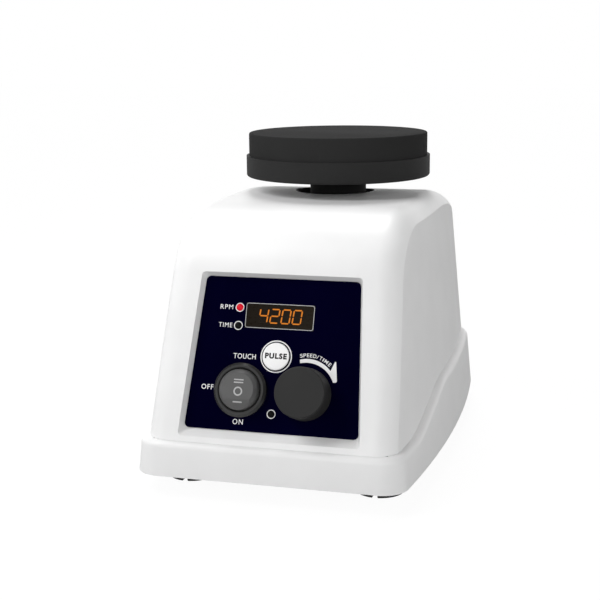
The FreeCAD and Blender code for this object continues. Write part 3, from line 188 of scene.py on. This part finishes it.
looks = {
    "whitePlastic": {"tones": (grey(0.812), grey(0.848)), "grain": 2600, "rough": (0.36, 0.46),
                     "depth": 0.03, "strength": 0.22},
    "blackRubber": {"tones": (grey(0.012), grey(0.016)), "grain": 1800, "rough": (0.62, 0.8),
                    "depth": 0.04, "strength": 0.3},
    "platformRubber": {"tones": (grey(0.021), grey(0.024)), "grain": 1500, "rough": (0.7, 0.85),
                       "specular": 0.05, "depth": 0.04, "strength": 0.25},
    "dishPlastic": {"tones": (grey(0.0145), grey(0.017)), "grain": 2000, "rough": (0.5, 0.65),
                    "specular": 0.2, "depth": 0.03, "strength": 0.2},
    "neckPlasticAndShade": {"tones": (grey(0.007), grey(0.009)), "grain": 2000, "rough": (0.5, 0.65),
                    "specular": 0.1, "depth": 0.03, "strength": 0.2},
    "navyFilm": {"tones": ((0.0003, 0.0001, 0.0095, 1), (0.0005, 0.0002, 0.0115, 1)), "grain": 3200,
                 "rough": (0.5, 0.6), "specular": 0.004, "depth": 0.015, "strength": 0.12},
    "whiteInk": {"tones": (grey(0.82), grey(0.88)), "grain": 3000, "rough": (0.45, 0.55)},
    "paleInk": {"tones": (grey(0.42), grey(0.48)), "grain": 3000, "rough": (0.45, 0.55)},
    "darkInkAndShade": {"tones": (grey(0.004), grey(0.007)), "grain": 3000, "rough": (0.5, 0.6), "specular": 0.2},
    "rimInk": {"tones": (grey(0.03), grey(0.045)), "grain": 3000, "rough": (0.5, 0.6), "specular": 0.2},
    "smokedWindow": {"tones": ((0.010, 0.007, 0.004, 1), (0.014, 0.010, 0.006, 1)), "grain": 900,
                     "rough": (0.25, 0.32), "specular": 0.1},
    "orangeGlow": {"tones": ((0.10, 0.03, 0.003, 1), (0.12, 0.04, 0.004, 1)), "grain": 1200,
                   "rough": (0.4, 0.5), "specular": 0.1, "glow": ((1.0, 0.30, 0.03, 1), 0.6)},
    "segmentGhost": {"tones": ((0.013, 0.008, 0.005, 1), (0.017, 0.011, 0.006, 1)), "grain": 1200,
                     "rough": (0.3, 0.4), "specular": 0.1},
    "redLens": {"tones": ((0.32, 0.004, 0.010, 1), (0.38, 0.006, 0.014, 1)), "grain": 900,
                "rough": (0.3, 0.4), "specular": 0.15, "glow": ((1.0, 0.012, 0.035, 1), 0.36)},
    "darkLens": {"tones": (grey(0.003), grey(0.005)), "grain": 900, "rough": (0.45, 0.55), "specular": 0.1},
    "keyPlastic": {"tones": (grey(0.92), grey(0.95)), "grain": 2400, "rough": (0.32, 0.4),
                   "depth": 0.015, "strength": 0.12},
    "bezelPlastic": {"tones": (grey(0.026), grey(0.033)), "grain": 1600, "rough": (0.2, 0.27)},
    "rockerPlastic": {"tones": (grey(0.095), grey(0.108)), "grain": 1600, "rough": (0.36, 0.44),
                      "specular": 0.4},
    "knobPlastic": {"tones": (grey(0.021), grey(0.024)), "grain": 2200, "rough": (0.5, 0.62),
                    "specular": 0.25, "depth": 0.03, "strength": 0.22},
    "platedMetal": {"tones": (grey(0.52), grey(0.6)), "grain": 700, "rough": (0.25, 0.36), "metal": 1.0},
    "castMetal": {"tones": (grey(0.38), grey(0.46)), "grain": 500, "rough": (0.42, 0.55), "metal": 1.0,
                  "depth": 0.05},
    "ironCore": {"tones": (grey(0.05), grey(0.08)), "grain": 600, "rough": (0.5, 0.65), "metal": 0.4,
                 "depth": 0.05},
    "brassBush": {"tones": ((0.5, 0.34, 0.12, 1), (0.6, 0.42, 0.16, 1)), "grain": 700,
                  "rough": (0.3, 0.4), "metal": 1.0},
    "greenBoard": {"tones": ((0.01, 0.10, 0.035, 1), (0.015, 0.13, 0.05, 1)), "grain": 800,
                   "rough": (0.35, 0.45)},
}
materials = {name: finish(name, look) for name, look in looks.items()}
print("materials made", len(materials))


def dress(piece, look):
    piece.data.materials.clear()
    piece.data.materials.append(materials[look])


# moulded body and the other pieces whose shape comes from the solids
shown = {
    "upper_housing": ("housingShell", "whitePlastic"), "base_tray": ("baseTray", "whitePlastic"),
    "head_pad": ("platformPad", "platformRubber"), "head_dish": ("platformDish", "dishPlastic"),
    "head_neck": ("platformNeck", "neckPlasticAndShade"), "panel_overlay": ("panelFilm", "navyFilm"),
    "display_window": ("displayWindow", "smokedWindow"), "speed_led": ("speedLens", "redLens"),
    "time_led": ("timeLens", "darkLens"), "status_led": ("statusLens", "darkLens"),
    "pulse_key": ("pulseKeyCap", "keyPlastic"), "rocker_bezel": ("rockerBezel", "bezelPlastic"),
    "rocker": ("rockerPaddle", "rockerPlastic"), "knob": ("speedKnob", "knobPlastic"),
    "power_jack": ("powerInlet", "blackRubber"), "foot_front_left": ("footFrontLeft", "blackRubber"),
    "foot_front_right": ("footFrontRight", "blackRubber"), "foot_rear_left": ("footRearLeft", "blackRubber"),
    "foot_rear_right": ("footRearRight", "blackRubber"),
}
# edges sharper than this stay crisp; the housing keeps the crease round its flat sides
smoothing = {"usual": 32.0, "upper_housing": 15.0}
pieces = {}
for node, (name, look) in shown.items():
    piece = smoothCopy(node, name, smoothing.get(node, smoothing["usual"]))
    dress(piece, look)
    pieces[name] = piece
print("shells dressed", len(pieces))

# the key's side is dark under its white face
keySide = {"look": "rimInk", "facing": 0.4}
keyCap = pieces["pulseKeyCap"]
keyCap.data.materials.append(materials[keySide["look"]])
outward = panelMatrix.to_3x3() @ Vector((0, 0, 1))
for face in keyCap.data.polygons:
    face.material_index = 0 if face.normal.dot(outward) > keySide["facing"] else 1

# painted shade: the steep faces of the housing round the roof opening are painted dark, standing for the shade
# inside the opening
openingShade = {"look": "neckPlasticAndShade", "axis": (0, 21.7), "radius": 19.3, "above": 110, "steep": 0.5}
shell = pieces["housingShell"]
shell.data.materials.append(materials[openingShade["look"]])
axis = Vector(openingShade["axis"]) * mm
for face in shell.data.polygons:
    near = (face.center.xy - axis).length < openingShade["radius"] * mm
    high = face.center.z > openingShade["above"] * mm
    steep = abs(face.normal.z) < openingShade["steep"]
    face.material_index = int(near and high and steep)

# inner nodes keep their solids and get their finish
inner = {
    "platedMetal": ["housing_screw", "board_screw", "cradle_screw", "head_screw", "pin_screw", "encoder_nut",
                    "encoder_shaft", "motor_shaft", "bearing", "eccentric_hub"],
    "castMetal": ["motor_cradle", "cradle_cap", "motor_can", "motor_end_plate"],
    "ironCore": ["ballast_plate", "field_magnet", "armature"],
    "brassBush": ["upper_bush", "lower_bush"],
    "greenBoard": ["control_board"],
    "neckPlasticAndShade": ["rocker_pin"],
    "blackRubber": ["pulse_switch", "encoder_body", "jack_nut", "touch_switch", "press_bumper",
                    "display_module"],
}
for look, starts in inner.items():
    for node, item in nodes.items():
        if node not in shown and any(node.startswith(start) for start in starts):
            dress(item, look)
print("inner pieces finished")

# printed film: ink lies on what carries it, closed and very thin
ink = {"thick": 0.04, "bold": 0.008, "tracking": 1.1, "extrude": 0.5, "curve": 4, "sides": 48}


def settle(piece, name, look, body):
    piece.name = name
    dress(piece, look)
    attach(piece, body)


def thicken(piece):
    editAll(piece)
    bpy.ops.mesh.extrude_region_move(TRANSFORM_OT_translate={"value": (0, 0, ink["thick"] * mm)})
    bpy.ops.mesh.select_all(action="SELECT")
    bpy.ops.mesh.normals_make_consistent(inside=False)
    bpy.ops.object.mode_set(mode="OBJECT")


def hollow(piece, border):
    editAll(piece)
    bpy.ops.mesh.inset(thickness=border)
    bpy.ops.mesh.delete(type="FACE")
    bpy.ops.object.mode_set(mode="OBJECT")
    thicken(piece)


def joinPieces(parts):
    clearSelection()
    for part in parts:
        part.select_set(True)
    bpy.context.view_layer.objects.active = parts[0]
    bpy.ops.object.join()
    return parts[0]


def boxOf(spots):
    low = Vector([min(spot[k] for spot in spots) for k in range(3)])
    high = Vector([max(spot[k] for spot in spots) for k in range(3)])
    return low, high


def newText(word, bold, tracking):
    clearSelection()
    bpy.ops.object.text_add(location=(0, 0, 0))
    item = bpy.context.object
    item.data.body = word
    item.data.space_character = tracking
    item.data.offset = bold
    item.data.extrude = ink["extrude"]
    item.data.resolution_u = ink["curve"]
    bpy.ops.object.convert(target="MESH")
    item = bpy.context.object
    editAll(item)
    bpy.ops.mesh.remove_doubles(threshold=weld["letters"])
    bpy.ops.mesh.normals_make_consistent(inside=False)
    bpy.ops.object.mode_set(mode="OBJECT")
    return item


def wordMesh(label):
    bold, tracking = [label.get(key, ink[key]) for key in ("bold", "tracking")]
    piece = newText(label["word"], bold, tracking)
    low, high = boxOf([corner.co for corner in piece.data.vertices])
    wanted = (label["width"] * mm, label["height"] * mm, ink["thick"] * mm)
    fit = Matrix.Diagonal([want / have for want, have in zip(wanted, high - low)]).to_4x4()
    u, v = label["at"]
    out = label.get("out", panel["film"]) + ink["thick"] / 2
    place = onPanel(u, v, out, label.get("turn", 0))
    placeMesh(piece, place @ fit @ Matrix.Translation(-(low + high) / 2))
    return piece


# words of the film, size and middle in panel millimetres
labels = {
    "printSpeed": {"word": "RPM", "width": 5.6, "height": 1.95, "at": (-23.5, 19.4),
                   "bold": 0.0, "tracking": 1.18},
    "printTime": {"word": "TIME", "width": 6.0, "height": 1.95, "at": (-23.4, 11.7),
                  "bold": 0.0, "tracking": 1.18},
    "printTouch": {"word": "TOUCH", "width": 9.8, "height": 2.2, "at": (-13.7, -1.1)},
    "printOff": {"word": "OFF", "width": 5.3, "height": 2.15, "at": (-28.8, -14.8), "tracking": 1.16},
    "printOn": {"word": "ON", "width": 4.5, "height": 2.25, "at": (-14.1, -28.5), "tracking": 1.22},
}
for name, label in labels.items():
    settle(wordMesh(label), name, "whiteInk", "enclosure")
keyWord = {"word": "PULSE", "width": 9.4, "height": 2.4, "at": (0.1, -0.3), "out": 1.3,
           "bold": 0.05, "tracking": 1.2}
settle(wordMesh(keyWord), "printPulse", "darkInkAndShade", "key")


# rings round the lamps and the key
def ringMesh(ring):
    clearSelection()
    sides = ring.get("sides", ink["sides"])
    bpy.ops.mesh.primitive_circle_add(vertices=sides, radius=ring["outer"] * mm, fill_type="NGON")
    piece = bpy.context.object
    hollow(piece, (ring["outer"] - ring["inner"]) * mm * math.cos(math.pi / sides))
    u, v = ring["at"]
    placeMesh(piece, onPanel(u, v, ring.get("out", panel["film"])))
    return piece


rings = {
    "ringSpeed": {"at": (-17.7, 19.4), "outer": 1.9, "inner": 1.56},
    "ringTime": {"at": (-17.7, 11.7), "outer": 1.9, "inner": 1.56},
    "ringStatus": {"at": (0, -24.4), "outer": 1.9, "inner": 1.56},
    "ringKey": {"at": (0, -0.5), "outer": 6.78, "inner": 6.3, "sides": 96},
}
for name, ring in rings.items():
    settle(ringMesh(ring), name, "whiteInk", "enclosure")


def roundedPlate(width, height, corner, segments=1):
    clearSelection()
    bpy.ops.mesh.primitive_plane_add(size=1.0)
    piece = bpy.context.object
    piece.scale = (width * mm, height * mm, 1)
    bpy.ops.object.transform_apply(location=True, rotation=True, scale=True)
    editAll(piece)
    bpy.ops.mesh.bevel(offset=corner * mm, affect="VERTICES", segments=segments)
    bpy.ops.object.mode_set(mode="OBJECT")
    return piece


# pale line along the window's border
windowLine = {"size": (29.7, 10.5), "corner": 1.0, "segments": 5, "line": 0.26, "at": (0, 16.3), "out": 0.5}
piece = roundedPlate(*windowLine["size"], windowLine["corner"], windowLine["segments"])
hollow(piece, windowLine["line"] * mm)
placeMesh(piece, onPanel(*windowLine["at"], windowLine["out"]))
settle(piece, "windowLine", "paleInk", "enclosure")

# marks of the rocker: two bars, a ring, and a dash on its sloping face; place up, length, height
rockerMarks = {"middle": -13.6, "top": 5.7, "ridge": -19.35, "slope": 22.0, "corner": 0.06,
               "bars": [(-11.4, 4.1, 0.5), (-12.55, 4.1, 0.5)], "dash": (-20.6, 3.9, 0.6),
               "ring": {"at": (-13.6, -16.2), "out": 5.7, "outer": 1.9, "inner": 1.3}}


def markBar(v, long, tall, drop=0.0, tip=0.0):
    bar = roundedPlate(long, tall, rockerMarks["corner"])
    thicken(bar)
    placeMesh(bar, onPanel(rockerMarks["middle"], v, rockerMarks["top"] - drop, 0, tip))
    return bar


marks = [markBar(*bar) for bar in rockerMarks["bars"]]
marks.append(ringMesh(rockerMarks["ring"]))
fall = math.tan(math.radians(rockerMarks["slope"]))
drop = (rockerMarks["ridge"] - rockerMarks["dash"][0]) * fall
marks.append(markBar(*rockerMarks["dash"], drop, rockerMarks["slope"]))
settle(joinPieces(marks), "rockerMarks", "paleInk", "switch_rocker")
print("film printed")


def arcSpot(arc, angle):
    turn = math.radians(angle)
    u, v = arc["middle"]
    return (u + arc["radius"] * math.cos(turn), v + arc["radius"] * math.sin(turn))


# curved words over the knob: letter, angle, width
turnWord = {"middle": (13.95, -13.37), "radius": 14.25, "height": 1.55, "letters": [
    ("S", 102.8, 1.2), ("P", 96.8, 1.2), ("E", 91.2, 1.0), ("E", 85.8, 1.0), ("D", 79.7, 1.4), ("/", 74.3, 0.8),
    ("T", 68.6, 1.2), ("I", 63.6, 0.42), ("M", 57.6, 1.6), ("E", 49.8, 1.05)]}
letters = []
for letter, angle, width in turnWord["letters"]:
    letters.append(wordMesh({"word": letter, "width": width, "height": turnWord["height"],
                             "at": arcSpot(turnWord, angle), "turn": angle - 90}))
settle(joinPieces(letters), "printTurn", "whiteInk", "enclosure")


def outlinePlate(spots):
    clearSelection()
    bpy.ops.mesh.primitive_circle_add(vertices=len(spots), radius=mm, fill_type="NGON")
    plate = bpy.context.object
    for corner, (x, y) in zip(plate.data.vertices, spots):
        corner.co = (x * mm, y * mm, 0)
    thicken(plate)
    return plate


# arrow: two arcs and the head between their ends
arrow = {"outer": {"middle": (13.95, -13.37), "radius": 12.76, "from": 106.6, "to": 40.6},
         "head": [(25.3, -1.1), (25.75, -1.3), (26.7, -9.2), (26.2, -9.7)],
         "inner": {"middle": (13.68, -14.61), "radius": 12.40, "from": 23.1, "to": 104.9}, "steps": 24}


def arcSpots(arc, steps):
    step = (arc["to"] - arc["from"]) / steps
    return [arcSpot(arc, arc["from"] + step * index) for index in range(steps + 1)]


outerArc, innerArc = [arcSpots(arrow[side], arrow["steps"]) for side in ("outer", "inner")]
piece = outlinePlate(outerArc + arrow["head"] + innerArc)
placeMesh(piece, onPanel(0, 0, panel["film"]))
settle(piece, "printArrow", "whiteInk", "enclosure")
print("turning mark printed")

# painted shade: flat dark crosses under the four screws of the tray stand for their shaded cross recesses
crossMark = {"long": 1.9, "half": 0.42}
long, half = crossMark["long"], crossMark["half"]
corners = [(long, half), (half, half), (half, long), (-half, long), (-half, half), (-long, half),
           (-long, -half), (-half, -half), (-half, -long), (half, -long), (half, -half), (long, -half)]
crosses = []
for node, item in nodes.items():
    if node.startswith("housing_screw"):
        low, high = boxOf([item.matrix_world @ corner.co for corner in item.data.vertices])
        middle = (low + high) / 2
        piece = outlinePlate(corners)
        placeMesh(piece, Matrix.Translation((middle.x, middle.y, low.z - ink["thick"] * mm)))
        crosses.append(piece)
settle(joinPieces(crosses), "screwCrosses", "darkInkAndShade", "enclosure")

# seven-segment digits on the window: place across and up, upright or level
digits = {"word": "4200", "first": -6.95, "pitch": 4.85, "middle": 16.35, "width": 3.5, "height": 5.75,
          "bar": 0.55, "corner": 0.45, "gap": 0.16, "slant": 0.1, "out": 0.5}
segments = {"a": (0, 1, False), "b": (0.5, 0.5, True), "c": (0.5, -0.5, True), "d": (0, -1, False),
            "e": (-0.5, -0.5, True), "f": (-0.5, 0.5, True), "g": (0, 0, False)}
lit = {"4": "fgbc", "2": "abged", "0": "abcdef"}
shear = Matrix(((1, digits["slant"], 0, 0), (0, 1, 0, 0), (0, 0, 1, 0), (0, 0, 0, 1)))
groups = {True: [], False: []}
for index, figure in enumerate(digits["word"]):
    across = digits["first"] + digits["pitch"] * index
    stand = onPanel(across, digits["middle"], digits["out"]) @ shear
    for letter, (aside, up, upright) in segments.items():
        long = (digits["height"] / 2 if upright else digits["width"]) - digits["gap"] * 2
        size = (digits["bar"], long) if upright else (long, digits["bar"])
        bar = roundedPlate(*size, digits["bar"] * digits["corner"])
        thicken(bar)
        spot = (aside * digits["width"] * mm, up * digits["height"] / 2 * mm, 0)
        placeMesh(bar, stand @ Matrix.Translation(spot))
        groups[letter in lit[figure]].append(bar)
settle(joinPieces(groups[True]), "digitsLit", "orangeGlow", "enclosure")
settle(joinPieces(groups[False]), "digitsDark", "segmentGhost", "enclosure")
print("display lit")


def mixForCamera(tree, usualShader, seenShader, share, output):
    seen = tree.nodes.new("ShaderNodeLightPath")
    part = tree.nodes.new("ShaderNodeMath")
    part.operation = "MULTIPLY"
    part.inputs[1].default_value = share
    blend = tree.nodes.new("ShaderNodeMixShader")
    tree.links.new(seen.outputs["Is Camera Ray"], part.inputs[0])
    tree.links.new(part.outputs["Value"], blend.inputs["Fac"])
    tree.links.new(usualShader, blend.inputs[1])
    tree.links.new(seenShader, blend.inputs[2])
    tree.links.new(blend.outputs["Shader"], tree.nodes[output].inputs["Surface"])


# floor: looks lit from behind, as a white sweep is, and throws little light up
ground = {"size": 8.0, "tones": (grey(0.45), grey(0.47)), "scale": 3.0, "detail": 3.0, "rough": 0.55,
          "from": 0.3, "to": 0.7, "gloss": 0.8, "specular": 0.1, "glow": 1.12, "share": 0.85}
clearSelection()
bpy.ops.mesh.primitive_plane_add(size=ground["size"], location=(0, 0, 0))
floor = bpy.context.object
floor.name = "floor"
floorMaterial, tree, shader, place = newMaterial("paleFloor")
tint = ramp(tree, noise(tree, place, ground["scale"], ground), ground, ground["tones"])
tree.links.new(tint, shader.inputs["Base Color"])
shader.inputs["Roughness"].default_value = ground["gloss"]
shader.inputs["Specular IOR Level"].default_value = ground["specular"]
sweep = tree.nodes.new("ShaderNodeEmission")
sweep.inputs["Strength"].default_value = ground["glow"]
mixForCamera(tree, shader.outputs["BSDF"], sweep.outputs["Emission"], ground["share"], "Material Output")
floor.data.materials.append(floorMaterial)

# studio: a pale surround that is brighter low down, a soft sun and three soft boxes
studio = {"aim": (0, -0.03, 0.09),
          "surround": {"tone": grey(0.993), "bright": 1.28, "dim": 0.0, "from": 0.3, "to": 0.5,
                       "seen": grey(1.0), "share": 1.0},
          "sun": {"from": (-0.15, 0.45, 0.88), "strength": 1.42, "angle": 20.0},
          "boxes": {"keyBox": {"at": (-0.3, -0.22, 0.48), "power": 1.6, "size": 0.25},
                    "frontBox": {"at": (0.1, -0.9, 0.4), "power": 1.5, "size": 0.5},
                    "sideBox": {"at": (0.9, -0.4, 0.4), "power": 1.05, "size": 0.5}}}
around = studio["surround"]
world = bpy.data.worlds.new("studio")
world.use_nodes = True
tree = world.node_tree
sky = tree.nodes["Background"]
sky.inputs["Color"].default_value = around["tone"]
where = tree.nodes.new("ShaderNodeTexCoord")
split = tree.nodes.new("ShaderNodeSeparateXYZ")
fade = tree.nodes.new("ShaderNodeMapRange")
for socket, key in {"From Min": "from", "From Max": "to", "To Min": "bright", "To Max": "dim"}.items():
    fade.inputs[socket].default_value = around[key]
backdrop = tree.nodes.new("ShaderNodeBackground")
backdrop.inputs["Color"].default_value = around["seen"]
tree.links.new(where.outputs["Generated"], split.inputs["Vector"])
tree.links.new(split.outputs["Z"], fade.inputs["Value"])
tree.links.new(fade.outputs["Result"], sky.inputs["Strength"])
mixForCamera(tree, sky.outputs["Background"], backdrop.outputs["Background"], around["share"], "World Output")
bpy.context.scene.world = world
bpy.context.scene.view_settings.view_transform = "Standard"


def addHolder(name, data, at):
    holder = bpy.data.objects.new(name, data)
    bpy.context.scene.collection.objects.link(holder)
    holder.location = at
    return holder


def addLamp(name, kind, at, power, direction):
    lamp = bpy.data.lights.new(name, kind)
    lamp.energy = power
    addHolder(name, lamp, at).rotation_euler = direction.to_track_quat("-Z", "Y").to_euler()
    return lamp


sun = studio["sun"]
lamp = addLamp("softSun", "SUN", (0, 0, 1), sun["strength"], -Vector(sun["from"]))
lamp.angle = math.radians(sun["angle"])
for name, box in studio["boxes"].items():
    lamp = addLamp(name, "AREA", box["at"], box["power"], Vector(studio["aim"]) - Vector(box["at"]))
    lamp.size = box["size"]

# camera: turn, tilt and roll in degrees
cameraPlace = {"at": (0.14642, -0.56101, 0.18837), "angles": (15.772, 78.063, -0.559),
               "lens": 75.0, "sensor": 36.0}
camera = bpy.data.cameras.new("camera")
camera.lens = cameraPlace["lens"]
camera.sensor_width = cameraPlace["sensor"]
holder = addHolder("camera", camera, cameraPlace["at"])
turn, tilt, roll = [Matrix.Rotation(math.radians(angle), 3, axle)
                    for angle, axle in zip(cameraPlace["angles"], "ZXZ")]
holder.rotation_euler = (turn @ tilt @ roll).to_euler()
bpy.context.scene.camera = holder
print("camera and lamps set")
